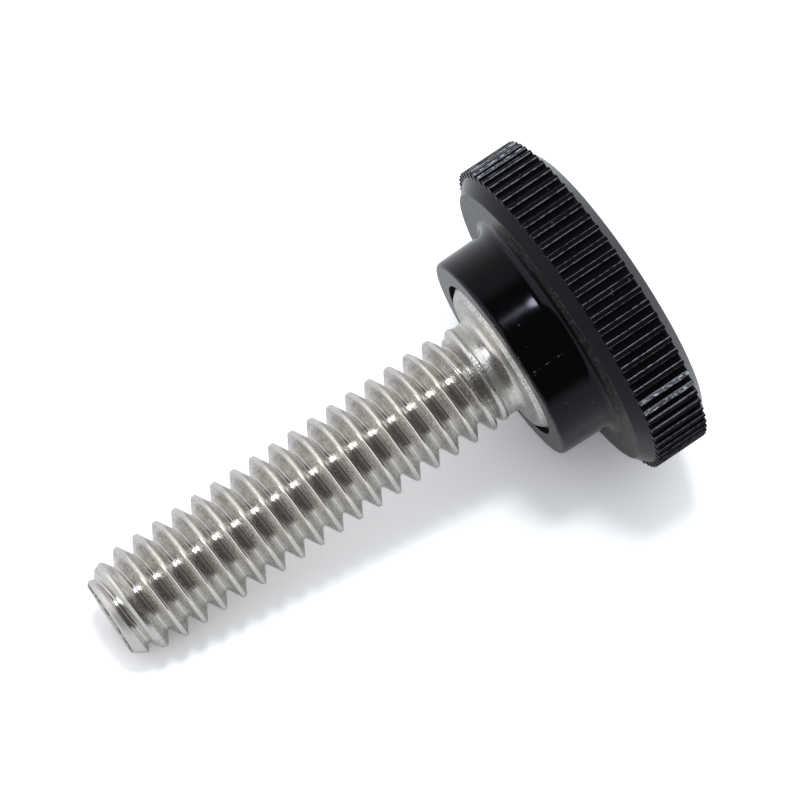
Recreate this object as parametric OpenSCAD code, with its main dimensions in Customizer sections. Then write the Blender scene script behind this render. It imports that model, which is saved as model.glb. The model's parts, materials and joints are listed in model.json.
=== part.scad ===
// Thumb screw: a socket-head cap screw pressed into a knurled plastic knob.
// Both pieces are modelled on their common axis, +Z from the screw's tip to the knob's top,
// with z = 0 at the bearing face under the screw's head, and are then laid down as the
// thumb screw comes to rest: on two teeth of the rim and on the end of the thread.

/* [Knob] */
// Diameter over the crests of the knurl
knob_d = 19.4; // [16.2:0.1:30]
// Width of the rim that carries the knurl, along the axis
rim_w = 3.2; // [1.6:0.05:6]
// Width of the front bevel, from the grooves in to the flat ring under the rim
front_bevel_w = 0.68; // [0.2:0.01:2.2]
// Height of the front bevel, between the flat ring and the knurl
front_bevel_h = 0.65; // [0.2:0.01:1.2]
// Width of the back bevel, from the grooves in to the flat top
back_bevel_w = 1.03; // [0.2:0.01:2.6]
// Height of the back bevel, between the knurl and the flat top
back_bevel_h = 0.63; // [0.3:0.01:1.5]
// Radius of the edge between the back bevel and the flat top
top_edge_r = 0.5; // [0.1:0.05:1]
// Height of the hub, from its end face to the flat ring under the rim
hub_h = 3.3; // [2:0.1:8]
// Wall of the hub round the screw's head
hub_wall = 1.53; // [0.8:0.01:2.8]
// Radius of the hub's outer edge
hub_edge_r = 0.3; // [0.05:0.05:0.6]
// Radius of the fillet between the hub and the flat ring
hub_root_r = 0.7; // [0.2:0.05:1.2]

/* [Knurl] */
// Number of teeth round the rim
teeth = 75; // [48:1:96]
// Depth of the grooves between the teeth, which end square
tooth_h = 0.35; // [0.15:0.01:0.45]
// Width of a tooth at its crest
crest_w = 0.31; // [0.15:0.01:0.6]
// Slope of a tooth's flanks, from the radius
flank_angle = 15; // [0:1:30]
// Step from the groove bottoms down to each bevel
bevel_step = 0.02; // [0.01:0.01:0.1]

/* [Screw] */
// Major diameter of the thread
thread_d = 6.18; // [4:0.01:7.7]
// Length under the head
screw_l = 25.4; // [12:0.1:60]
// Length of the taper at the tip
tip_l = 2.2; // [0.5:0.1:4]
// How far the taper draws in, from the thread's crests to the edge of the end face
tip_inset = 0.93; // [0.2:0.01:1.8]
// Length of the neck between the bearing face and the thread
neck_l = 2.6; // [1.2:0.1:5]
// How far the neck draws in from the thread's crests
neck_inset = 0.22; // [0.02:0.01:0.6]
// Radius of the fillet between the neck and the bearing face
neck_fillet_r = 0.45; // [0.1:0.05:1.1]
// Diameter of the head
head_d = 9.52; // [8:0.01:12.6]
// Height of the head
head_h = 6.35; // [4.2:0.05:7.5]
// Bevel of the head's lower edge
head_bevel = 0.54; // [0.1:0.01:0.8]
// Bevel of the head's upper edge
head_top_bevel = 0.3; // [0.1:0.01:0.6]
// Width of the hexagon socket across its flats
socket_af = 4.78; // [3:0.01:6]
// Depth of the hexagon socket
socket_depth = 3.05; // [1:0.05:4]

/* [Fit] */
// How far the head's bearing face stands out of the hub
head_proud = 0.19; // [0:0.01:0.5]
// Gap all round between the head and its pocket
press_gap = 0.01; // [0:0.01:0.1]
// Bevel round the pocket's mouth
mouth_bevel = 0.09; // [0.01:0.01:0.3]

/* [Hidden] */
$fn = 96;

// Levels along the axis
hub_z = head_proud;                  // the hub's end face
under_z = hub_z + hub_h;             // the flat ring under the rim
rim_z = under_z + front_bevel_h;     // where the knurl starts
rim_top_z = rim_z + rim_w;           // where the knurl ends
top_z = rim_top_z + back_bevel_h;    // the flat top
taper_z = tip_l - screw_l;           // where the tip's taper starts

// Radii
knob_r = knob_d / 2;
root_r = knob_r - tooth_h;
bevel_r = root_r - bevel_step;
under_r = bevel_r - front_bevel_w;
top_r = bevel_r - back_bevel_w;
thread_r = thread_d / 2;
neck_r = thread_r - neck_inset;
tip_r = thread_r - tip_inset;
head_r = head_d / 2;
bearing_r = head_r - head_bevel;
pocket_r = head_r + press_gap;
hub_r = pocket_r + hub_wall;

// Angles round the axis that a tooth and its crest take up
pitch_angle = 360 / teeth;
crest_half_angle = asin(crest_w / 2 / knob_r);

// The rounded edge of the flat top: the slope of the back bevel and the centre of the arc
back_slope = atan(back_bevel_h / back_bevel_w);
top_arc_r = top_r - top_edge_r * tan(back_slope / 2);
top_arc_z = top_z - top_edge_r;

// The rest position. Two teeth touch the floor with the near edges of their crests, and the
// shank touches it at the start of the taper or at the end face, whichever comes first.
touch_r = knob_r * cos(pitch_angle / 2 - crest_half_angle);
lean = min(
    atan((touch_r - thread_r) / (rim_z - taper_z)),
    atan((touch_r - tip_r) / (rim_z + screw_l))
);
lift = touch_r * cos(lean) - rim_z * sin(lean);

// Half-way between the tip's lowest x and the knob's highest x, as laid down
x_max = top_arc_z * cos(lean) + top_arc_r * sin(lean) + top_edge_r;
x_min = -screw_l * cos(lean) - tip_r * sin(lean);
x_mid = (x_max + x_min) / 2;

// Lays a piece down from the screw's own axis
module lay_down() {
    translate([-x_mid, 0, lift]) rotate([0, 90 - lean, 0]) children();
}

// Points of an arc round [x, y], from angle a to angle b
function arc(x, y, r, a, b, n = 6) =
    [for (i = [0:n]) let (t = a + (b - a) * i / n) [x + r * cos(t), y + r * sin(t)]];

// The corners of tooth i, from the foot of one flank to the foot of the other
function polar(a, r) = [r * cos(a), r * sin(a)];
function tooth_points(i) =
    let (
        mid = (i + 0.5) * pitch_angle,
        foot_w = crest_w + 2 * tooth_h * tan(flank_angle),
        foot_half_angle = asin(foot_w / 2 / root_r)
    )
    [
        polar(mid - foot_half_angle, root_r),
        polar(mid - crest_half_angle, knob_r),
        polar(mid + crest_half_angle, knob_r),
        polar(mid + foot_half_angle, root_r)
    ];

// The rim's toothed outline, with a groove on +X
module knurl_outline() {
    polygon([for (i = [0:teeth - 1]) each tooth_points(i)]);
}

// The rim turned to its bevels, without its teeth
module rim_blank() {
    rotate_extrude()
        polygon(concat(
            [[0, under_z], [under_r, under_z], [bevel_r, rim_z], [bevel_r, rim_top_z]],
            arc(top_arc_r, top_arc_z, top_edge_r, 90 - back_slope, 90),
            [[0, top_z]]
        ));
}

// The bevelled disc that the fingers grip, with its band of square-ended teeth
module rim() {
    rim_blank();
    translate([0, 0, rim_z]) linear_extrude(rim_w) knurl_outline();
}

// The hub, with its rounded edge and the fillet that runs out into the flat ring
module hub() {
    rotate_extrude()
        polygon(concat(
            [[0, rim_z], [0, hub_z]],
            arc(hub_r - hub_edge_r, hub_z + hub_edge_r, hub_edge_r, -90, 0),
            arc(hub_r + hub_root_r, under_z - hub_root_r, hub_root_r, 180, 90),
            [[hub_r + hub_root_r, rim_z]]
        ));
}

// The pocket that the head is pressed into, with its bevelled mouth
module head_pocket() {
    translate([0, 0, hub_z]) cylinder(h = head_h - hub_z, r = pocket_r);
    translate([0, 0, hub_z - mouth_bevel])
        cylinder(h = 2 * mouth_bevel, r1 = pocket_r + 2 * mouth_bevel, r2 = pocket_r);
}

module knob() {
    color([0.03, 0.03, 0.035])
        lay_down()
            difference() {
                union() {
                    rim();
                    hub();
                }
                head_pocket();
            }
}

// The screw's turned outline, from the tip to the top of the head
module screw_blank() {
    rotate_extrude()
        polygon(concat(
            [
                [0, -screw_l],
                [tip_r, -screw_l],
                [thread_r, taper_z],
                [thread_r, -neck_l - neck_inset],
                [neck_r, -neck_l]
            ],
            arc(neck_r + neck_fillet_r, -neck_fillet_r, neck_fillet_r, 180, 90),
            [
                [bearing_r, 0],
                [head_r, head_bevel],
                [head_r, head_h - head_top_bevel],
                [head_r - head_top_bevel, head_h],
                [0, head_h]
            ]
        ));
}

// The hexagon socket for a key, hidden inside the knob
module hex_socket() {
    past_top = 1;
    translate([0, 0, head_h - socket_depth])
        cylinder(h = socket_depth + past_top, r = socket_af / 2 / cos(30), $fn = 6);
}

module screw() {
    color([0.72, 0.70, 0.67])
        lay_down()
            difference() {
                screw_blank();
                hex_socket();
            }
}

knob();
screw();
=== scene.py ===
"""A thumb screw on a pale floor: a knurled black knob pressed onto a stainless cap screw.

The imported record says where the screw's axis lies. The classes build both pieces round that
axis with their fine forms, such as the thread and the rounded teeth, and dress them. Sizes
are in millimetres, as on a drawing, and meshes in metres.
"""
from __future__ import annotations

import json
import logging
from dataclasses import dataclass
from functools import partial, reduce
from math import cos, pi, radians, sin, tan
from typing import Any, NamedTuple, Sequence

import bmesh
import bpy
import numpy as np
from mathutils import Matrix, Vector


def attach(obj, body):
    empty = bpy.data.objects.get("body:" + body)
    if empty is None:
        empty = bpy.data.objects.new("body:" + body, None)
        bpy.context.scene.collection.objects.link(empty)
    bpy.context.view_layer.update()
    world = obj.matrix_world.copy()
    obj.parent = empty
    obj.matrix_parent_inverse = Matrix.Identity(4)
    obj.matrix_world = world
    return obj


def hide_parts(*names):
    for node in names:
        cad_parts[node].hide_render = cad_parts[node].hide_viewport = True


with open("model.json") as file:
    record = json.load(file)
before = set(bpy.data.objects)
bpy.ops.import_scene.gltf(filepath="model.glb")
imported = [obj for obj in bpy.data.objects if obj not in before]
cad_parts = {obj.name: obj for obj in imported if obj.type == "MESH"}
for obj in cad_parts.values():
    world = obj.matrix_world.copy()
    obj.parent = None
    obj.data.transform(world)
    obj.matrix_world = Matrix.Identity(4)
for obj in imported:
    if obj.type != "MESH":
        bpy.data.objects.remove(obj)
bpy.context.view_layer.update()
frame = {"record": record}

LOG = logging.getLogger("thumb_screw")
MM = 0.001
TURN = 2 * pi
# Points closer than this, in metres, become one
WELD = 1e-7
# Width of the narrow face beside a rounded corner, which keeps the shading of the next face flat
STRIP = 0.03
# The most that such a face takes of a short span
STRIP_SHARE = 0.3
# Edges are sharp where faces meet at a larger angle than this, in degrees
CREASE = 32.0

Array = np.ndarray
Span = tuple[float, float]
Triple = tuple[float, float, float]
Colour = tuple[float, float, float, float]
WHITE: Colour = (1.0, 1.0, 1.0, 1.0)
# The span that most values of a fractal noise fall in
MIDDLING: Span = (0.3, 0.7)


@dataclass(frozen=True)
class Placement:
    """Where the screw's own axis lies in the frame.

    The origin is the middle of the bearing face under the head. +Z runs along the axis to
    the knob's top, and +X is the side that faces the floor.
    """

    matrix: Matrix

    @classmethod
    def from_record(cls, record: dict[str, Any]) -> Placement:
        """Reads the axis from the bearing face that the record states.

        Args:
            record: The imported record.

        Returns:
            The placement of the screw's axis.
        """
        face = next(m for m in record["mounts"] if m["name"] == "bearing_face")
        up = -Vector(face["axis"])
        across = Vector((0.0, 1.0, 0.0))
        down = across.cross(up)
        matrix = Matrix((down, across, up)).transposed().to_4x4()
        matrix.translation = Vector((face["pos_m"][0], 0.0, face["pos_m"][2]))
        return cls(matrix)


def eased(corners: Sequence[Any], steps: int) -> Array:
    """Rounds an open outline's corners and holds the straight spans between them flat.

    Args:
        corners: The corners as (radius, height, reach), where the rounding starts that far
            from the corner. Each may be an array, for one outline in each column.
        steps: The number of edges in a rounded corner.

    Returns:
        The points of the rounded outline, in an array of rows.
    """
    columns = max(np.size(part) for corner in corners for part in corner)
    outline = np.array([[np.broadcast_to(part, columns) for part in corner] for corner in corners])
    places, reaches = np.split(np.moveaxis(outline, 1, 2).astype(float), [2], axis=2)
    rows, was_round = [places[0]], False
    for i, corner in enumerate(places[1:], 1):
        bend, is_round = [corner], np.any(reaches[i])
        if is_round:
            ways = (places[i - 1] - corner, places[i + 1] - corner)
            start, end = (way / np.linalg.norm(way, axis=1, keepdims=True) * reaches[i] for way in ways)
            bend = [corner + start * (1 - s) ** 2 + end * s**2 for s in np.linspace(0, 1, steps + 1)]
        span = bend[0] - rows[-1]
        length = np.linalg.norm(span, axis=1, keepdims=True)
        strip = span * np.minimum(STRIP / np.maximum(length, STRIP), STRIP_SHARE)
        if was_round:
            rows.append(rows[-1] + strip)
        if is_round:
            rows.append(bend[0] - strip)
        rows += bend
        was_round = is_round
    return np.array(rows)


def placed(data: Any) -> bpy.types.Object:
    """Puts a mesh, a lamp or a camera in the scene.

    Args:
        data: The mesh, the lamp or the camera.

    Returns:
        Its object, which has the same name.
    """
    thing = bpy.data.objects.new(data.name, data)
    bpy.context.scene.collection.objects.link(thing)
    return thing


class Skin:
    """A closed surface that is built up from rings round the screw's axis."""

    def __init__(self) -> None:
        """Starts with no points and no faces."""
        self.points: list[Array] = []
        self.faces: list[tuple[int, ...]] = []
        self.count = 0

    def ring(self, angles: Array, radii: Any, heights: Any) -> Array:
        """Adds one ring of points.

        Args:
            angles: The angle of each point round the axis, in radians.
            radii: One radius, or one for each point.
            heights: One height along the axis, or one for each point.

        Returns:
            The numbers of the ring's points.
        """
        ones = np.ones_like(angles)
        ring = np.stack([radii * np.cos(angles), radii * np.sin(angles), heights * ones], axis=1)
        self.points.append(ring)
        self.count += len(ring)
        return np.arange(self.count - len(ring), self.count)

    def rings(self, angles: Array, rows: Array) -> list[Array]:
        """Adds a ring for each row of an outline and joins each to the next.

        Args:
            angles: The angle of each column, in radians.
            rows: The outline's rows of (radius, height), as `eased` returns them. A row of
                one point stands for a whole ring.

        Returns:
            The numbers of each ring's points.
        """
        made = [self.ring(angles, row[:, 0], row[:, 1]) for row in rows]
        for lower, upper in zip(made, made[1:]):
            self.bridge(lower, upper)
        return made

    def bridge(self, lower: Array, upper: Array) -> None:
        """Joins two rings of equal or of different counts.

        Args:
            lower: A ring's point numbers.
            upper: The other ring's. One count is a multiple of the other.
        """
        if len(lower) > len(upper):
            lower, upper = upper, lower
        ratio = len(upper) // len(lower)
        for i in range(len(lower)):
            n = (i + 1) % len(lower)
            far = [int(upper[(i * ratio + k) % len(upper)]) for k in range(ratio, -1, -1)]
            self.faces.append((int(lower[i]), int(lower[n]), *far))

    def cap(self, ring: Array) -> None:
        """Closes a ring with one flat face."""
        self.faces.append(tuple(int(i) for i in ring))

    def build(self, name: str, placement: Placement) -> bpy.types.Object:
        """Makes the Blender object.

        Args:
            name: The piece's name.
            placement: Where the axis lies in the frame.

        Returns:
            The object, in the scene.
        """
        mesh = bpy.data.meshes.new(name)
        mesh.from_pydata((np.concatenate(self.points) * MM).tolist(), [], self.faces)
        mesh.transform(placement.matrix)
        work = bmesh.new()
        work.from_mesh(mesh)
        bmesh.ops.remove_doubles(work, verts=work.verts, dist=WELD)
        bmesh.ops.dissolve_degenerate(work, edges=work.edges, dist=WELD)
        bmesh.ops.recalc_face_normals(work, faces=work.faces)
        work.to_mesh(mesh)
        work.free()
        mesh.shade_smooth()
        mesh.set_sharp_from_angle(angle=radians(CREASE))
        return placed(mesh)


class Step(NamedTuple):
    """A smooth step: a value up to `low` gives `first`, and one from `high` on gives `last`."""

    low: float
    high: float
    first: float = 0.0
    last: float = 1.0

    def at(self, level: float) -> Step:
        """Returns the step with its ends measured from a level."""
        return self._replace(low=level + self.low, high=level + self.high)


class Band(NamedTuple):
    """A zone of a value: its share rises from 0 to 1 over one span and falls over another."""

    rise: Span
    fall: Span

    def at(self, start: float, end: float) -> Band:
        """Returns the band with its rise measured from one level and its fall from another."""
        return Band((start + self.rise[0], start + self.rise[1]), (end + self.fall[0], end + self.fall[1]))


class Noise(NamedTuple):
    """Fractal noise, about 0.5 on average: its features per mm, finer layers and their weight."""

    scale: float
    detail: float = 2.0
    rough: float = 0.5


class Speckle(NamedTuple):
    """Spots that show where a noise passes a step."""

    noise: Noise
    step: Step


class Graph:
    """A material's or a world's nodes, written as sums and products of sockets and numbers."""

    def __init__(self, owner: bpy.types.Material | bpy.types.World) -> None:
        """Starts an empty graph.

        Args:
            owner: The material or the world.
        """
        owner.use_nodes = True
        self.tree = owner.node_tree
        self.tree.nodes.clear()

    def add(self, kind: str, inputs: dict[Any, Any] | None = None, **settings: Any) -> bpy.types.Node:
        """Adds a node.

        Args:
            kind: Blender's name of the node type.
            inputs: What each input socket takes: another socket or a plain value.
            **settings: The node's own options.

        Returns:
            The node.
        """
        node = self.tree.nodes.new(kind)
        for key, value in settings.items():
            setattr(node, key, value)
        for key, value in (inputs or {}).items():
            if isinstance(value, bpy.types.NodeSocket):
                self.tree.links.new(value, node.inputs[key])
            else:
                node.inputs[key].default_value = value
        return node

    def math(self, operation: str, *values: Any) -> Any:
        """Returns the result of one operation on sockets or numbers."""
        return self.add("ShaderNodeMath", dict(enumerate(values)), operation=operation).outputs[0]

    def times(self, *values: Any) -> Any:
        """Returns the product of sockets and numbers."""
        return reduce(partial(self.math, "MULTIPLY"), values)

    def plus(self, *values: Any) -> Any:
        """Returns the sum of sockets and numbers."""
        return reduce(partial(self.math, "ADD"), values)

    def most(self, *values: Any) -> Any:
        """Returns the largest of some sockets and numbers."""
        return reduce(partial(self.math, "MAXIMUM"), values)

    def step(self, value: Any, step: Step) -> Any:
        """Returns what a smooth step gives for a value."""
        inputs = dict(enumerate((value, *step)))
        return self.add("ShaderNodeMapRange", inputs, interpolation_type="SMOOTHSTEP").outputs[0]

    def band(self, value: Any, band: Band) -> Any:
        """Returns a value's share of a band."""
        return self.times(self.step(value, Step(*band.rise)), self.step(value, Step(*band.fall, 1.0, 0.0)))

    def noise(self, vector: Any, noise: Noise) -> Any:
        """Returns fractal noise at a place."""
        inputs = {"Vector": vector, "Scale": noise.scale, "Detail": noise.detail, "Roughness": noise.rough}
        return self.add("ShaderNodeTexNoise", inputs).outputs["Fac"]

    def speckle(self, vector: Any, speckle: Speckle) -> Any:
        """Returns the share of the spots at a place."""
        return self.step(self.noise(vector, speckle.noise), speckle.step)

    def vector(self, x: Any, y: Any, z: Any) -> Any:
        """Returns a vector made of three sockets or numbers."""
        return self.add("ShaderNodeCombineXYZ", {0: x, 1: y, 2: z}).outputs[0]

    def split(self, vector: Any) -> Any:
        """Returns the three sockets that a vector is made of."""
        return self.add("ShaderNodeSeparateXYZ", {0: vector}).outputs

    def vector_math(self, operation: str, first: Any, second: Any) -> bpy.types.Node:
        """Returns the node of one operation on two vectors."""
        return self.add("ShaderNodeVectorMath", {0: first, 1: second}, operation=operation)

    def mix(self, share: Any, first: Any, second: Any) -> Any:
        """Returns a value between two values."""
        return self.add("ShaderNodeMix", {0: share, 2: first, 3: second}, data_type="FLOAT").outputs[0]

    def blend(self, share: Any, first: Any, second: Any) -> Any:
        """Returns a colour between two colours."""
        return self.add("ShaderNodeMix", {0: share, 6: first, 7: second}, data_type="RGBA").outputs[2]

    def bump(self, height: Any, depth: float, under: Any = None) -> Any:
        """Bumps a surface.

        Args:
            height: The height from 0 to 1.
            depth: The full depth in metres.
            under: A bumped normal that this one adds to.

        Returns:
            The bumped normal.
        """
        inputs = {"Height": height, "Distance": depth, "Strength": 1.0}
        if under is not None:
            inputs["Normal"] = under
        return self.add("ShaderNodeBump", inputs).outputs[0]

    def finish(self, shader: str, inputs: dict[str, Any], output: str = "ShaderNodeOutputMaterial") -> None:
        """Adds the shader and the output that it feeds."""
        self.add(output, {"Surface": self.add(shader, inputs).outputs[0]})


class PieceGraph(Graph):
    """The nodes of a piece's material, with sockets for the place on the piece in mm and radians."""

    def __init__(self, name: str, placement: Placement) -> None:
        """Starts a material.

        Args:
            name: The material's name.
            placement: Where the axis of the piece lies in the frame.
        """
        self.material = bpy.data.materials.new(name)
        super().__init__(self.material)
        source, lie = self.add("ShaderNodeTexCoord").outputs["Object"], placement.matrix
        laid = {"Vector": source, "Location": lie.translation, "Rotation": lie.to_euler()}
        own = self.add("ShaderNodeMapping", laid, vector_type="TEXTURE").outputs[0]
        self.spot = self.add("ShaderNodeVectorMath", {0: own, "Scale": 1 / MM}, operation="SCALE").outputs[0]
        self.x, self.y, self.height = self.split(self.spot)
        self.radius = self.math("SQRT", self.plus(self.times(self.x, self.x), self.times(self.y, self.y)))
        self.angle = self.math("ARCTAN2", self.y, self.x)

    def dress(self, look: BlackPlastic | Stainless, plain: dict[str, Any]) -> bpy.types.Material:
        """Finishes the material.

        Args:
            look: The finish, which gives the colour, the roughness and the relief.
            plain: What the shader's other sockets take.

        Returns:
            The material.
        """
        inputs = {"Base Color": look.paint(self), "Roughness": look.roughness(self)}
        inputs["Normal"] = look.relief(self)
        self.finish("ShaderNodeBsdfPrincipled", inputs | plain)
        return self.material


class KnobGraph(PieceGraph):
    """The plastic's nodes, with the share that each zone of the knob has at a place."""

    def __init__(self, finish: BlackPlastic, knob: Knob) -> None:
        """Works out the zones.

        Args:
            finish: The plastic.
            knob: The knob that it dresses.
        """
        super().__init__("black_plastic", knob.placement)
        height, radius, crest_radius = self.height, self.radius, knob.knurl.crest_radius
        self.knurl = self.band(height, finish.knurl.at(knob.rim_start, knob.rim_end))
        self.crest = self.times(self.knurl, self.step(radius, finish.crest.at(crest_radius)))
        self.groove = self.times(self.knurl, self.step(radius, finish.groove.at(crest_radius)))
        edge = Band(finish.edge, finish.crest[:2]).at(crest_radius, crest_radius)
        self.edge = self.times(self.knurl, self.band(radius, edge))
        self.pressed = self.times(self.crest, self.band(self.angle, finish.pressed))
        # Two crests with scuff grain and a painted highlight
        self.scuffed_and_highlit = self.times(self.crest, self.band(self.angle, finish.scuffed_and_highlit))
        self.bevels = self.step(height, finish.bevels.at(knob.under))
        ring = self.times(
            self.band(height, finish.ring.at(knob.under, knob.under)),
            self.band(radius, finish.ring_width.at(knob.hub_radius, knob.under_radius)),
        )
        end_face = self.times(
            self.step(height, finish.end_face.at(knob.hub_face)),
            self.step(radius, finish.end_face_width.at(knob.mouth_radius)),
        )
        self.grained = self.most(ring, self.times(end_face, finish.end_face_share))
        self.pocket = self.times(
            self.band(height, finish.pocket.at(knob.hub_face, knob.pocket_top)),
            self.step(radius, finish.pocket_width.at(knob.mouth_radius)),
        )


@dataclass(frozen=True)
class BlackPlastic:
    """Moulded black plastic: a glossy hub, satin bevels, a dusty grained ring, and a knurl with painted
    highlights.

    Spans of height and radius are measured from the knob's own levels and radii, and spans of
    angle, in radians, from the side that faces the floor.
    """

    colour: Colour = (0.0008, 0.0008, 0.0010, 1.0)
    dust: Colour = (0.14, 0.137, 0.13, 1.0)
    # Painted highlights: the dim one along the crest edges, and the pale one on the scuffed and the pressed
    # crests
    painted_highlight: Colour = (0.19, 0.19, 0.215, 1.0)
    painted_sparkle: Colour = (0.55, 0.56, 0.62, 1.0)
    gloss_tint: Colour = (0.86, 0.85, 1.0, 1.0)
    refraction: float = 1.3
    # Roughness, from the hub to the knurl and the pocket
    gloss: float = 0.09
    gloss_spread: float = 1.3
    satin: float = 0.19
    matte: float = 0.30
    dull: float = 0.9
    # The knurl by height, and its crests, their edges and the grooves by radius
    knurl: Band = Band((-0.01, 0.05), (-0.04, 0.02))
    crest: Step = Step(-0.030, -0.012)
    edge: Span = (-0.09, -0.05)
    groove: Step = Step(-0.25, -0.10, 1.0, 0.0)
    # The grained ring, and all that lies past it
    ring: Band = Band((-0.09, -0.02), (0.01, 0.13))
    ring_width: Band = Band((0.4, 0.8), (-0.03, 0.03))
    bevels: Step = Step(0.03, 0.21)
    # The hub's end face, which is grained a little less
    end_face: Step = Step(0.01, 0.11, 1.0, 0.0)
    end_face_width: Step = Step(-0.01, 0.09)
    end_face_share: float = 0.6
    # The pocket's wall and floor
    pocket: Band = Band((0.005, 0.02), (0.15, 0.55))
    pocket_width: Step = Step(0.04, 0.09, 1.0, 0.0)
    # Crests pressed flat, two scuffed crests with a painted highlight and its share, and the painted
    # crest-edge highlight, dimmer towards the floor
    pressed: Band = Band((2.20, 2.28), (2.50, 2.57))
    pressed_depth: float = 2.2e-4
    scuffed_and_highlit: Band = Band((-2.03, -2.00), (-1.87, -1.84))
    scuffed_highlight_share: float = 0.5
    edge_highlight_fade: Step = Step(1.3, 1.85, 0.35, 1.0)
    # The fine scratch along the hub, by angle and by height above the bearing face
    scratch: Band = Band((-2.410, -2.405), (-2.401, -2.396))
    scratch_run: Band = Band((0.5, 0.6), (2.5, 2.8))
    # Noises, and the spots that they make. Drawn ones are longer along the axis
    mottle: Noise = Noise(1.2, 3.0)
    grain: Noise = Noise(11.0, 4.0, 0.62)
    grain_depth: float = 7.0e-6
    melt: Noise = Noise(2.6, 3.0, 0.6)
    drawn: Triple = (1.0, 1.0, 0.4)
    glint: Speckle = Speckle(Noise(8.0, 4.0, 0.7), Step(0.36, 0.60, 0.10, 1.1))
    sparkle: Speckle = Speckle(Noise(9.0, 3.0, 0.7), Step(0.50, 0.64))
    speck: Speckle = Speckle(Noise(7.0, 1.5), Step(0.52, 0.68, 0.08, 1.0))
    fleck: Speckle = Speckle(Noise(5.0, 2.0, 0.4), Step(0.755, 0.79))
    nick: Speckle = Speckle(Noise(6.0, 2.0, 0.6), Step(0.50, 0.74))
    pressed_highlight: Speckle = Speckle(Noise(3.4, 3.0, 0.6), Step(0.51, 0.59))

    def material(self, knob: Knob) -> bpy.types.Material:
        """Returns the plastic's material on a knob."""
        plain = {"IOR": self.refraction, "Specular Tint": self.gloss_tint}
        return KnobGraph(self, knob).dress(self, plain)

    def roughness(self, graph: KnobGraph) -> Any:
        """Works out how rough the plastic is.

        Args:
            graph: The knob's graph.

        Returns:
            The roughness.
        """
        mottled = Step(*MIDDLING, self.gloss, self.gloss * self.gloss_spread)
        level = graph.step(graph.noise(graph.spot, self.mottle), mottled)
        level = graph.mix(graph.bevels, level, self.satin)
        level = graph.mix(graph.grained, level, self.matte)
        level = graph.mix(graph.most(graph.groove, graph.crest, graph.pocket), level, self.dull)
        return graph.mix(graph.pressed, level, self.gloss)

    def paint(self, graph: KnobGraph) -> Any:
        """Works out the plastic's colour: its dust and its scratch, and painted highlights on the crest
        edges and on the scuffed and the pressed crests.

        Args:
            graph: The knob's graph.

        Returns:
            The colour.
        """
        dust = graph.times(graph.grained, graph.speckle(graph.spot, self.speck))
        scratch = graph.times(
            graph.band(graph.angle, self.scratch),
            graph.band(graph.height, self.scratch_run),
            graph.speckle(graph.spot, self.nick),
        )
        dusty = graph.most(dust, graph.speckle(graph.spot, self.fleck), scratch)
        colour = graph.blend(dusty, self.colour, self.dust)
        # Painted highlight along the crest edges, dimmer on the side towards the floor, and on the two
        # scuffed crests
        edge = graph.times(graph.edge, graph.step(graph.math("ABSOLUTE", graph.angle), self.edge_highlight_fade))
        highlight_share = graph.most(edge, graph.times(graph.scuffed_and_highlit, self.scuffed_highlight_share))
        drawn = graph.vector_math("MULTIPLY", graph.spot, self.drawn).outputs[0]
        colour = graph.blend(graph.times(highlight_share, graph.speckle(drawn, self.glint)), colour, self.painted_highlight)
        # Painted bright highlight specks on the two scuffed crests
        sparkle = graph.times(graph.scuffed_and_highlit, graph.speckle(drawn, self.sparkle))
        colour = graph.blend(sparkle, colour, self.painted_sparkle)
        # Painted pale highlight specks on the pressed crests; their gloss and melted relief are set in the
        # roughness and the bump
        pressed_highlight = graph.times(graph.pressed, graph.speckle(graph.spot, self.pressed_highlight))
        return graph.blend(pressed_highlight, colour, self.painted_sparkle)

    def relief(self, graph: KnobGraph) -> Any:
        """Works out the plastic's fine grain, and the uneven face of its pressed crests.

        Args:
            graph: The knob's graph.

        Returns:
            The bumped normal.
        """
        grained = graph.most(graph.grained, graph.scuffed_and_highlit)
        grain = graph.times(graph.noise(graph.spot, self.grain), grained)
        melted = graph.times(graph.noise(graph.spot, self.melt), graph.pressed)
        return graph.bump(melted, self.pressed_depth, graph.bump(grain, self.grain_depth))


class ScrewGraph(PieceGraph):
    """The steel's nodes, with the way along the helix and each zone's share."""

    def __init__(self, finish: Stainless, screw: CapScrew) -> None:
        """Works out the zones.

        Args:
            finish: The steel.
            screw: The screw that it dresses.
        """
        super().__init__("stainless", screw.placement)
        self.turned = self.math("ARCTAN2", self.times(self.y, -1.0), self.times(self.x, -1.0))
        climb = self.times(self.turned, screw.thread.pitch / TURN)
        self.climbed = self.math("SUBTRACT", self.height, climb)
        foot = self.step(self.radius, finish.flank_foot.at(screw.thread.root_radius))
        top = self.step(self.radius, finish.flank_top.at(screw.thread.crest_radius))
        self.grained = self.most(self.times(foot, top), self.step(self.height, finish.neck))
        self.kept = self.plus(self.times(self.grained, 1.0 - finish.least), finish.least)
        end_height, end_radius = screw.tip[0]
        self.brushed = self.most(
            self.band(self.height, finish.brushed), self.step(self.height, finish.tip_brushed.at(end_height))
        )
        self.freckled = self.step(self.height, finish.tip_freckles.at(end_height))
        self.burr = self.times(
            self.step(self.height, finish.burr.at(end_height)),
            self.step(self.radius, finish.burr_width.at(end_radius)),
        )

    def along(self, radius: Any, stretch: float) -> Any:
        """Returns a place whose noise runs along the helix, the longer the lower the stretch."""
        return self.vector(radius, self.climbed, self.times(self.turned, stretch))


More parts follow.
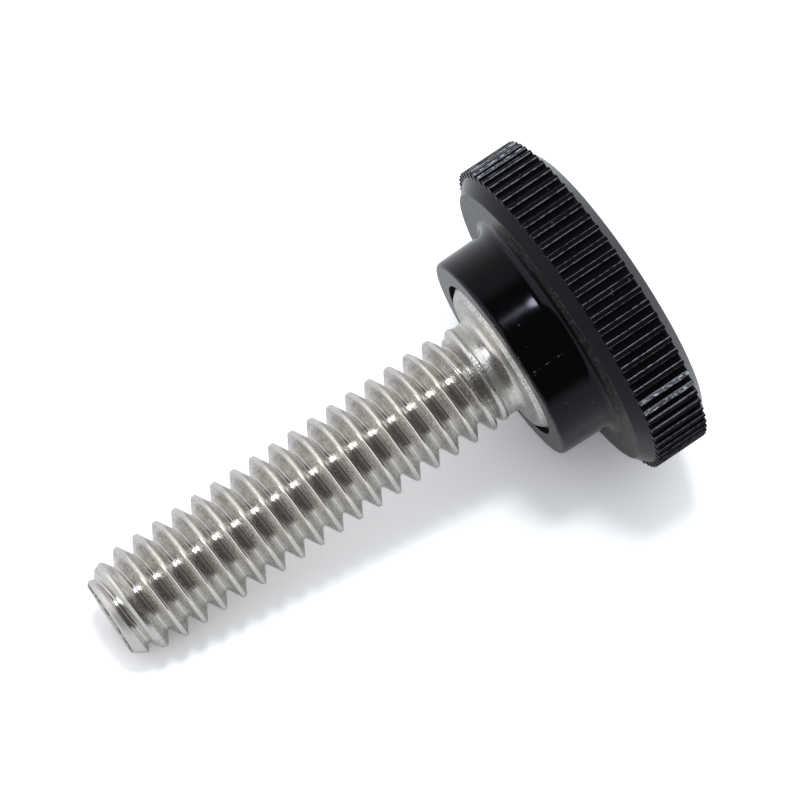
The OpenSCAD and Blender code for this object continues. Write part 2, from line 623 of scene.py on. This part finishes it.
@dataclass(frozen=True)
class Stainless:
    """Cold-rolled stainless steel: grained, with fine lines along the helix and a few stains.

    Heights are measured from the bearing face, or at the tip from its end face, and radii
    from the thread's roots and crests, or for the burr from the edge of the end face.
    """

    colour: Colour = (0.72, 0.70, 0.665, 1.0)
    cloud: Colour = (0.45, 0.43, 0.385, 1.0)
    stain: Colour = (0.30, 0.26, 0.21, 1.0)
    tarnish: Colour = (0.09, 0.078, 0.065, 1.0)
    grained_roughness: Span = (0.22, 0.38)
    root_roughness: float = 0.16
    brushed_roughness: float = 0.44
    # The grained parts: the thread's flanks, and the neck with the head
    flank_foot: Step = Step(0.11, 0.45)
    flank_top: Step = Step(-0.12, -0.07, 1.0, 0.2)
    neck: Step = Step(-2.2, -1.8)
    # What the smooth parts keep of the grain, and what the bearing face adds to it
    least: float = 0.15
    bearing: Step = Step(-0.2, 0.0)
    bearing_grain: float = 1.2
    # The dented collar, the brushed band on it, and the neck without clouds
    collar: Band = Band((-2.0, -1.6), (-0.74, -0.64))
    brushed: Band = Band((-1.24, -1.12), (-0.76, -0.66))
    bright: Band = Band((-2.0, -1.5), (-0.5, 0.1))
    # The tip: its brushed end, its share of freckles, and the burr round its end face
    tip_brushed: Step = Step(0.45, 0.70, 1.0, 0.0)
    tip_freckles: Step = Step(1.2, 2.2, 0.2, 1.0)
    burr: Step = Step(0.02, 0.15, 1.0, 0.0)
    burr_width: Step = Step(-0.25, -0.05)
    # Noises, their depths, and the spots that they make. Stretches are for those along the helix
    grain: Noise = Noise(7.0, 4.0, 0.65)
    grain_depth: float = 5.0e-6
    lines: Noise = Noise(12.0)
    line_stretch: float = 0.12
    line_depth: float = 4.0e-6
    waves: Noise = Noise(6.0, 3.0, 0.6)
    wave_stretch: float = 0.4
    dents: Noise = Noise(8.0, 2.0, 0.6)
    dent_depth: float = 2.8e-5
    streaks: Speckle = Speckle(Noise(6.0, 2.0, 0.6), Step(0.50, 0.66))
    streak_stretch: float = 0.25
    mottle: Speckle = Speckle(Noise(1.6, 3.0), Step(0.45, 0.75, 0.0, 0.6))
    cloudiness: float = 0.9
    freckles: Speckle = Speckle(Noise(6.5, 1.5), Step(0.42, 0.66))
    spots: Speckle = Speckle(Noise(2.6, 3.0, 0.6), Step(0.70, 0.76))
    ragged: Speckle = Speckle(Noise(4.5, 3.0, 0.7), Step(0.40, 0.54, 0.3, 1.0))

    def material(self, screw: CapScrew) -> bpy.types.Material:
        """Returns the steel's material on a screw."""
        return ScrewGraph(self, screw).dress(self, {"Metallic": 1.0})

    def roughness(self, graph: ScrewGraph) -> Any:
        """Works out how rough the steel is.

        Args:
            graph: The screw's graph.

        Returns:
            The roughness.
        """
        grain = graph.step(graph.noise(graph.spot, self.grain), Step(*MIDDLING, *self.grained_roughness))
        level = graph.mix(graph.grained, self.root_roughness, grain)
        return graph.mix(graph.brushed, level, self.brushed_roughness)

    def relief(self, graph: ScrewGraph) -> Any:
        """Works out the steel's grain, its lines along the helix and the collar's dents.

        Args:
            graph: The screw's graph.

        Returns:
            The bumped normal.
        """
        bearing = graph.times(graph.step(graph.height, self.bearing), self.bearing_grain)
        grain = graph.times(graph.noise(graph.spot, self.grain), graph.plus(graph.kept, bearing))
        lines = graph.noise(graph.along(graph.radius, self.line_stretch), self.lines)
        waves = graph.noise(graph.along(0.0, self.wave_stretch), self.waves)
        dents = graph.plus(waves, graph.noise(graph.spot, self.dents))
        normal = graph.bump(grain, self.grain_depth)
        normal = graph.bump(graph.times(lines, graph.grained), self.line_depth, normal)
        return graph.bump(graph.times(dents, graph.band(graph.height, self.collar)), self.dent_depth, normal)

    def paint(self, graph: ScrewGraph) -> Any:
        """Works out the steel's colour, with its clouds, its stains and the burr at its tip.

        Args:
            graph: The screw's graph.

        Returns:
            The colour.
        """
        streaks = graph.speckle(graph.along(graph.radius, self.streak_stretch), self.streaks)
        cloudy = graph.most(streaks, graph.speckle(graph.spot, self.mottle))
        freckles = graph.times(graph.speckle(graph.spot, self.freckles), graph.freckled)
        cloudy = graph.most(graph.times(cloudy, self.cloudiness), freckles)
        off_neck = graph.math("SUBTRACT", 1.0, graph.band(graph.height, self.bright))
        colour = graph.blend(graph.times(cloudy, graph.kept, off_neck), self.colour, self.cloud)
        colour = graph.blend(graph.speckle(graph.spot, self.spots), colour, self.stain)
        burr = graph.times(graph.burr, graph.speckle(graph.spot, self.ragged))
        return graph.blend(burr, colour, self.tarnish)


@dataclass(frozen=True)
class Knurl:
    """The straight knurl: teeth along the axis, with a flat crest and a wide groove."""

    teeth: int = 75
    crest_radius: float = 9.7
    depth: float = 0.35
    crest_width: float = 0.31
    flank_angle: float = 15.0
    crest_reach: float = 0.10
    root_reach: float = 0.12
    steps: int = 3

    def columns(self) -> tuple[Array, Array]:
        """Works out the outline round the axis.

        Returns:
            The angle and the radius of each column of points.
        """
        pitch = TURN * self.crest_radius / self.teeth
        half = self.crest_width / 2
        foot = half + self.depth * tan(radians(self.flank_angle))
        floor = (pitch / 2, self.depth, 0)
        corners = [(0.0, 0.0, 0), (half, 0.0, self.crest_reach), (foot, self.depth, self.root_reach), floor]
        side = eased(corners, self.steps)[:, 0]
        left = side[-2:0:-1] * (-1, 1)
        tooth = np.concatenate([left, side])
        centres = (np.arange(self.teeth) + 0.5) * TURN / self.teeth
        angles = (centres[:, None] + tooth[None, :, 0] / self.crest_radius).ravel()
        depths = np.tile(tooth[:, 1], self.teeth)
        return angles, self.crest_radius - depths


@dataclass
class Knob:
    """The knob: a bevelled, knurled disc with a hub that holds the screw's head.

    Heights run up from the bearing face under the head. The levels follow each other from
    the hub's end face, by way of `under`, the flat ring round the hub, to the flat top.
    """

    placement: Placement
    knurl: Knurl = Knurl()
    finish: BlackPlastic = BlackPlastic()
    # Heights
    hub_face: float = 0.19
    hub_height: float = 3.30
    front_bevel: float = 0.65
    rim_width: float = 3.20
    back_bevel: float = 0.629
    # How far the bevels draw in, from a small step below the grooves
    bevel_step: float = 0.02
    front_bevel_width: float = 0.68
    back_bevel_width: float = 1.03
    # The hub, which swells slightly to its waist
    hub_wall: float = 1.53
    hub_draft: float = 0.038
    hub_waist: float = 2.4
    hub_swell: float = 0.005
    # The pocket, with its lead-in and the mesh's ledge round its floor
    pocket_radius: float = 4.77
    pocket_bevel: float = 0.09
    pocket_lead: float = 0.35
    pocket_top: float = 6.35
    pocket_ledge: float = 0.3
    # How far from its corner each rounding starts
    lead_reach: float = 0.03
    mouth_reach: float = 0.015
    edge_reach: float = 0.3
    waist_reach: float = 0.25
    hub_root_reach: float = 0.7
    under_reach: float = 0.08
    groove_end_reach: float = 0.02
    tooth_end_reach: float = 0.045
    top_reach: float = 0.14
    # How far a groove's floor slopes down at its ends
    groove_run: float = 0.05
    # The mesh: where the hub's joins the rim's, which is finer, and where the flat top starts
    ring_join: float = 8.3
    join_width: float = 0.05
    top_join: float = 7.9
    stride: int = 6
    hub_steps: int = 6
    rim_steps: int = 3

    def __post_init__(self) -> None:
        """Works out the levels and the radii that follow from other sizes."""
        self.under = self.hub_face + self.hub_height
        self.rim_start = self.under + self.front_bevel
        self.rim_end = self.rim_start + self.rim_width
        self.hub_radius = self.pocket_radius + self.hub_wall
        self.mouth_radius = self.pocket_radius + self.pocket_bevel
        self.bevel_radius = self.knurl.crest_radius - self.knurl.depth - self.bevel_step
        self.under_radius = self.bevel_radius - self.front_bevel_width

    def build(self) -> bpy.types.Object:
        """Builds the knob and dresses it.

        Returns:
            The finished piece, which stands for the CAD knob.
        """
        skin = Skin()
        angles, radii = self.knurl.columns()
        hub = skin.rings(angles[:: self.stride], self.hub_outline())
        skin.cap(hub[0])
        rim = skin.rings(angles, self.rim_outline(radii))
        skin.bridge(hub[-1], rim[0])
        skin.cap(rim[-1])
        piece = skin.build("knob_body", self.placement)
        piece.data.materials.append(self.finish.material(self))
        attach(piece, "root")
        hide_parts("knob")
        return piece

    def hub_outline(self) -> Array:
        """Works out the rows from the pocket's floor, over the hub, to the flat ring.

        Returns:
            The rows, with one point each.
        """
        corners = [
            (self.pocket_radius - self.pocket_ledge, self.pocket_top, 0),
            (self.pocket_radius, self.pocket_top, 0),
            (self.pocket_radius, self.hub_face + self.pocket_lead, self.lead_reach),
            (self.mouth_radius, self.hub_face, self.mouth_reach),
            (self.hub_radius - self.hub_draft, self.hub_face, self.edge_reach),
            (self.hub_radius + self.hub_swell, self.hub_waist, self.waist_reach),
            (self.hub_radius, self.under, self.hub_root_reach),
            (self.ring_join, self.under, 0),
        ]
        return eased(corners, self.hub_steps)

    def rim_outline(self, radii: Array) -> Array:
        """Works out the rows over the knurled disc.

        Args:
            radii: The knurl's radius in each column.

        Returns:
            The rows from the flat ring to the flat top.
        """
        sunk = (self.knurl.crest_radius - radii) / self.knurl.depth
        end = self.tooth_end_reach + (self.groove_end_reach - self.tooth_end_reach) * sunk
        run = self.groove_run * sunk
        top = self.rim_end + self.back_bevel
        corners = [
            (self.ring_join + self.join_width, self.under, 0),
            (self.under_radius, self.under, self.under_reach),
            (self.bevel_radius, self.rim_start, self.groove_end_reach),
            (radii, self.rim_start + run, end),
            (radii, self.rim_end - run, end),
            (self.bevel_radius, self.rim_end, self.groove_end_reach),
            (self.bevel_radius - self.back_bevel_width, top, self.top_reach),
            (self.top_join, top, 0),
        ]
        return eased(corners, self.rim_steps)


@dataclass(frozen=True)
class Thread:
    """A right-hand rolled thread, with a round root and a faint seam along its crest.

    The crest is a shallow hollow between two ridges, which falls off to the flanks.
    """

    pitch: float = 1.27
    crest_radius: float = 3.09
    root_radius: float = 2.27
    crest_half: float = 0.116
    crest_drop: float = 0.032
    ridge: float = 0.086
    seam_depth: float = 0.030
    ridge_reach: float = 0.022
    edge_reach: float = 0.016
    flank_angle: float = 30.0
    crest_steps: int = 2
    root_steps: int = 5
    # One point of the crest's helix, by height and by angle round the axis, in degrees
    crest_height: float = -23.65
    crest_angle: float = -62.05

    def outline(self) -> tuple[Array, Array]:
        """Works out one pitch of the thread, from root to root.

        Returns:
            The distance along the axis from the crest, and the radius there.
        """
        slope = tan(radians(self.flank_angle))
        edge_radius = self.crest_radius - self.crest_drop
        vee = edge_radius - (self.pitch / 2 - self.crest_half) / slope
        bend = self.root_radius - vee
        turns = np.linspace(radians(90 - self.flank_angle), 0, self.root_steps + 1)
        rise = self.root_radius + bend
        root = [(self.pitch / 2 - bend * sin(t), rise - bend * cos(t)) for t in turns]
        crest = [
            (0.0, self.crest_radius - self.seam_depth, 0),
            (self.ridge, self.crest_radius, self.ridge_reach),
            (self.crest_half, edge_radius, self.edge_reach),
            ((self.crest_half + root[0][0]) / 2, (edge_radius + root[0][1]) / 2, 0),
            (*root[0], 0),
        ]
        rounded = eased(crest, self.crest_steps)[:, 0]
        side = np.concatenate([rounded, root[1:]])
        whole = np.concatenate([side[-2:0:-1] * (-1, 1), side])
        return whole[:, 0], whole[:, 1]

    def radius(self, from_crest: Array) -> Array:
        """Returns the thread's radius at signed distances along the axis from a crest."""
        wrapped = (from_crest + self.pitch / 2) % self.pitch - self.pitch / 2
        return np.interp(wrapped, *self.outline(), period=self.pitch)


@dataclass
class CapScrew:
    """The socket-head cap screw: its threaded shank, neck, fillet and head.

    Heights run up from the bearing face, so all below the head is negative.
    """

    placement: Placement
    thread: Thread = Thread()
    finish: Stainless = Stainless()
    length: float = 25.4
    # The neck, whose rows of points are level
    neck_radius: float = 2.87
    neck_top: float = -0.60
    neck_bottom: float = -2.35
    # Where the thread fades out, and to what radius
    runout: Span = (-1.95, -1.35)
    runout_radius: float = 2.30
    # The rolled collar over it, as (height, radius), and how softly it takes over
    collar: tuple[Span, ...] = (
        (-2.25, 1.58), (-1.50, 2.83), (-1.43, 2.90), (-1.35, 2.94), (-1.26, 2.95),
        (-1.17, 2.92), (-1.10, 2.86), (-0.74, 2.835), (-0.66, 2.865), (-0.60, 2.87),
    )
    collar_blend: float = 0.05
    # The blunt tip that cuts the thread off, as (height, radius) from the end face up
    tip: tuple[Span, ...] = (
        (-25.4, 2.15), (-25.2, 2.36), (-24.7, 2.64), (-24.15, 2.86), (-23.5, 2.96), (-22.9, 3.09),
    )
    # The head and its hexagon socket
    bearing_radius: float = 4.19
    head_radius: float = 4.76
    head_bevel: float = 0.60
    head_top: float = 6.35
    head_top_bevel: float = 0.3
    head_ledge: float = 0.2
    socket_flats: float = 4.78
    socket_depth: float = 3.05
    # How far from its corner each rounding starts
    fillet_reach: float = 0.45
    bevel_reach: float = 0.06
    top_reach: float = 0.05
    # The mesh. The turns of the helix reach past both ends of the shank
    columns: int = 132
    neck_step: float = 0.025
    head_steps: int = 6
    turns: tuple[int, int] = (-5, 22)

    def build(self) -> bpy.types.Object:
        """Builds the screw and dresses it.

        Returns:
            The finished piece, which stands for the CAD screw.
        """
        skin = Skin()
        angles = np.linspace(0, TURN, self.columns, endpoint=False)
        lower, upper = self.shank(skin, angles)
        skin.cap(lower)
        neck = skin.rings(angles, self.neck_rows(angles))
        skin.bridge(upper, neck[0])
        head = skin.rings(angles, self.head_outline())
        skin.bridge(neck[-1], head[0])
        flat = TURN / 6
        reach = self.socket_flats / 2 / np.cos((angles + flat / 2) % flat - flat / 2)
        mouth = skin.ring(angles, reach, self.head_top)
        floor = skin.ring(angles, reach, self.head_top - self.socket_depth)
        skin.bridge(head[-1], mouth)
        skin.bridge(mouth, floor)
        skin.cap(floor)
        piece = skin.build("cap_screw", self.placement)
        piece.data.materials.append(self.finish.material(self))
        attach(piece, "root")
        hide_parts("screw")
        return piece

    def head_outline(self) -> Array:
        """Works out the rows from the neck, round the fillet and the head, to its top.

        Returns:
            The rows, with one point each.
        """
        top_radius = self.head_radius - self.head_top_bevel
        corners = [
            (self.neck_radius, self.neck_top, 0),
            (self.neck_radius, 0.0, self.fillet_reach),
            (self.bearing_radius, 0.0, self.bevel_reach),
            (self.head_radius, self.head_bevel, self.bevel_reach),
            (self.head_radius, self.head_top - self.head_top_bevel, self.top_reach),
            (top_radius, self.head_top, self.top_reach),
            (top_radius - self.head_ledge, self.head_top, 0),
        ]
        return eased(corners, self.head_steps)

    def shank(self, skin: Skin, angles: Array) -> tuple[Array, Array]:
        """Adds the threaded shank, whose rows of points follow the helix.

        The rows past either end are squeezed onto it. Where the last column meets the first,
        the helix has climbed a whole turn.

        Args:
            skin: The surface to add to.
            angles: The angle of each column, in radians.

        Returns:
            The numbers of the points round the tip's end face and round the neck.
        """
        thread = self.thread
        along, _ = thread.outline()
        per_turn = len(along)
        bottom, top = -self.length, self.neck_bottom
        rise = self.rise(angles)
        crests = thread.crest_height + thread.pitch * np.arange(*self.turns)
        heights = (crests[:, None] + along).ravel()[:, None] + rise
        clamped = np.clip(heights, bottom, top)
        radii = self.shank_radius(clamped, clamped - thread.crest_height - rise)
        number = np.array([skin.ring(angles, *row) for row in zip(radii, clamped)])
        moving = (heights > bottom) & (heights < top)
        rows, columns = heights.shape
        for row in range(rows - 1):
            for column in range(columns):
                beside = (column + 1) % columns
                low = row if beside else row + per_turn
                if low + 1 >= rows:
                    continue
                if moving[row : row + 2, column].any() or moving[low : low + 2, beside].any():
                    left, right = number[row : row + 2, column], number[low : low + 2, beside]
                    skin.faces.append((int(left[0]), int(right[0]), int(right[1]), int(left[1])))
        return number[0], number[-1]

    def rise(self, angles: Array) -> Array:
        """Returns how far the helix has climbed at each angle."""
        return self.thread.pitch / TURN * (angles - radians(self.thread.crest_angle))

    def neck_rows(self, angles: Array) -> Array:
        """Works out the level rows over the thread's run-out and the neck, up to the fillet.

        Args:
            angles: The angle of each column, in radians.

        Returns:
            The rows of (radius, height).
        """
        count = round((self.neck_top - self.neck_bottom) / self.neck_step)
        levels = np.linspace(self.neck_bottom, self.neck_top, count + 1)[1:, None]
        heights = levels + np.zeros_like(angles)
        radii = self.shank_radius(heights, heights - self.thread.crest_height - self.rise(angles))
        return np.stack([radii, heights], axis=2)

    def shank_radius(self, heights: Array, from_crest: Array) -> Array:
        """Works out the shank's surface.

        Args:
            heights: Heights along the axis.
            from_crest: Each point's distance along the axis from a crest of the helix.

        Returns:
            The radius at each point.
        """
        radii = np.minimum(self.thread.radius(from_crest), np.interp(heights, *zip(*self.tip)))
        start, end = self.runout
        fade = np.clip((heights - start) / (end - start), 0, 1)
        fade = fade * fade * (3 - 2 * fade)
        radii = radii + (self.runout_radius - radii) * fade
        collar = np.interp(heights, *zip(*self.collar))
        return (radii + collar + np.sqrt((radii - collar) ** 2 + self.collar_blend**2)) / 2


def stand(data: Any, place: Vector, back: Vector, roll: float = 0.0) -> bpy.types.Object:
    """Adds a lamp or a camera.

    Args:
        data: The lamp or the camera.
        place: Where it stands, in metres.
        back: The direction from what it faces to itself.
        roll: Its turn about that direction, in degrees.

    Returns:
        The object, in the scene.
    """
    thing = placed(data)
    turn = back.to_track_quat("Z", "Y").to_matrix().to_4x4()
    thing.matrix_world = Matrix.Translation(place) @ turn @ Matrix.Rotation(radians(roll), 4, "Z")
    return thing


@dataclass(frozen=True)
class Lamp:
    """The round lamp overhead, which faces the object. Its size and distance are in metres."""

    direction: Triple = (0.0, 0.02, 1.0)
    size: float = 0.197
    radiance: float = 30.0
    distance: float = 1.0
    colour: Triple = (0.86, 0.94, 1.0)

    def build(self) -> None:
        """Adds the lamp."""
        data = bpy.data.lights.new("overhead", "AREA")
        data.shape = "DISK"
        data.size = self.size
        data.energy = self.radiance * pi * pi * self.size**2 / 4
        data.color = self.colour
        back = Vector(self.direction).normalized()
        stand(data, back * self.distance, back)


@dataclass(frozen=True)
class Camera:
    """The camera. Its aim and distance are in millimetres in the frame, its angles in degrees."""

    aim: Triple = (2.405, 1.319, 7.177)
    distance: float = 230.0
    azimuth: float = -34.006
    elevation: float = 55.811
    roll: float = 2.230
    focal_length: float = 188.53
    clip_start: float = 0.01

    @property
    def back(self) -> Vector:
        """The direction from the object to the camera."""
        turn, lift = radians(self.azimuth), radians(self.elevation)
        return Vector((sin(turn) * cos(lift), -cos(turn) * cos(lift), sin(lift)))

    def build(self) -> None:
        """Adds the camera and makes it the scene's."""
        data = bpy.data.cameras.new("camera")
        data.lens = self.focal_length
        data.clip_start = self.clip_start
        place = (Vector(self.aim) + self.back * self.distance) * MM
        bpy.context.scene.camera = stand(data, place, self.back, self.roll)


@dataclass(frozen=True)
class Floor:
    """The pale floor, which is lifted to white where it is looked at. Its sizes are in metres."""

    size: float = 1.6
    near_edge: float = -0.065
    bounce: Colour = (0.80, 0.80, 0.80, 1.0)
    seen: Colour = (1.37, 1.37, 1.37, 1.0)

    def build(self) -> None:
        """Adds the floor."""
        half = self.size / 2
        corners = [(-half, self.near_edge, 0), (half, self.near_edge, 0), (half, half, 0), (-half, half, 0)]
        mesh = bpy.data.meshes.new("floor")
        mesh.from_pydata(corners, [], [(0, 1, 2, 3)])
        material = bpy.data.materials.new("pale_floor")
        graph = Graph(material)
        seen = graph.add("ShaderNodeLightPath").outputs["Is Camera Ray"]
        graph.finish("ShaderNodeBsdfDiffuse", {"Color": graph.blend(seen, self.bounce, self.seen)})
        mesh.materials.append(material)
        placed(mesh)


@dataclass(frozen=True)
class Surroundings:
    """The soft dome round the object, and what gloss mirrors in its place.

    Gloss mirrors pale walls with a brighter horizon, brighter walls on the right and the
    left, and a dark round opening about the camera, whose angles are in degrees.
    """

    dome: Colour = (0.78, 0.80, 0.83, 1.0)
    walls: Colour = (0.55, 0.55, 0.57, 1.0)
    horizon: Colour = (0.80, 0.80, 0.82, 1.0)
    horizon_height: Step = Step(0.0, 0.5)
    side_walls: Colour = (1.3, 1.3, 1.32, 1.0)
    right_way: Triple = (0.972, 0.0, 0.2355)
    right_wall: Step = Step(0.40, 0.60, 1.0, 0.0)
    left_wall: Step = Step(-0.52, -0.36, 1.0, 0.0)
    left_end: Step = Step(-0.18, -0.04)
    shade: Colour = (0.112, 0.108, 0.107, 1.0)
    opening: float = 64.5
    opening_edge: float = 8.5
    opening_lean: float = 3.6
    lean_axis: Triple = (1.0, 0.0, 0.24)

    def build(self, back: Vector) -> None:
        """Paints the world.

        Args:
            back: The direction from the object to the camera.
        """
        world = bpy.data.worlds.new("studio")
        graph = Graph(world)
        world.cycles.sampling_method = "NONE"
        bpy.context.scene.world = world
        way = graph.add("ShaderNodeTexCoord").outputs["Generated"]
        path = graph.add("ShaderNodeLightPath").outputs
        light = graph.blend(path["Is Glossy Ray"], self.dome, self.mirrored(graph, way, back))
        colour = graph.blend(path["Is Camera Ray"], light, WHITE)
        graph.finish("ShaderNodeBackground", {"Color": colour}, "ShaderNodeOutputWorld")

    def mirrored(self, graph: Graph, way: Any, back: Vector) -> Any:
        """Works out what gloss mirrors.

        Args:
            graph: The world's graph.
            way: The direction of a ray.
            back: The direction from the object to the camera.

        Returns:
            The colour in that direction.
        """
        x, y, z = graph.split(way)
        right = graph.vector_math("DOT_PRODUCT", way, self.right_way).outputs["Value"]
        left = graph.times(graph.step(x, self.left_wall), graph.step(y, self.left_end))
        between = graph.times(graph.step(right, self.right_wall), graph.math("SUBTRACT", 1.0, left))
        middle = Matrix.Rotation(radians(self.opening_lean), 3, self.lean_axis) @ back
        near = graph.vector_math("DOT_PRODUCT", way, middle).outputs["Value"]
        outer, inner = self.opening + self.opening_edge, self.opening - self.opening_edge
        opening = graph.step(near, Step(cos(radians(outer)), cos(radians(inner))))
        walls = graph.blend(graph.step(z, self.horizon_height), self.horizon, self.walls)
        walls = graph.blend(between, self.side_walls, walls)
        return graph.blend(graph.times(opening, between), walls, self.shade)


@dataclass(frozen=True)
class Studio:
    """The floor, the camera, the lamp and the surroundings."""

    floor: Floor = Floor()
    camera: Camera = Camera()
    lamp: Lamp = Lamp()
    surroundings: Surroundings = Surroundings()

    def build(self) -> None:
        """Builds the studio."""
        self.floor.build()
        self.camera.build()
        self.lamp.build()
        self.surroundings.build(self.camera.back)


def main() -> None:
    """Builds the studio and the two pieces, and reports each piece."""
    logging.basicConfig(level=logging.INFO, format="%(name)s: %(message)s")
    bpy.context.scene.view_settings.view_transform = "Standard"
    placement = Placement.from_record(frame["record"])
    Studio().build()
    for maker in (Knob(placement), CapScrew(placement)):
        piece = maker.build()
        LOG.info("%s: %d points, %d faces", piece.name, len(piece.data.vertices), len(piece.data.polygons))
    bpy.context.view_layer.update()


if __name__ == "__main__":
    main()
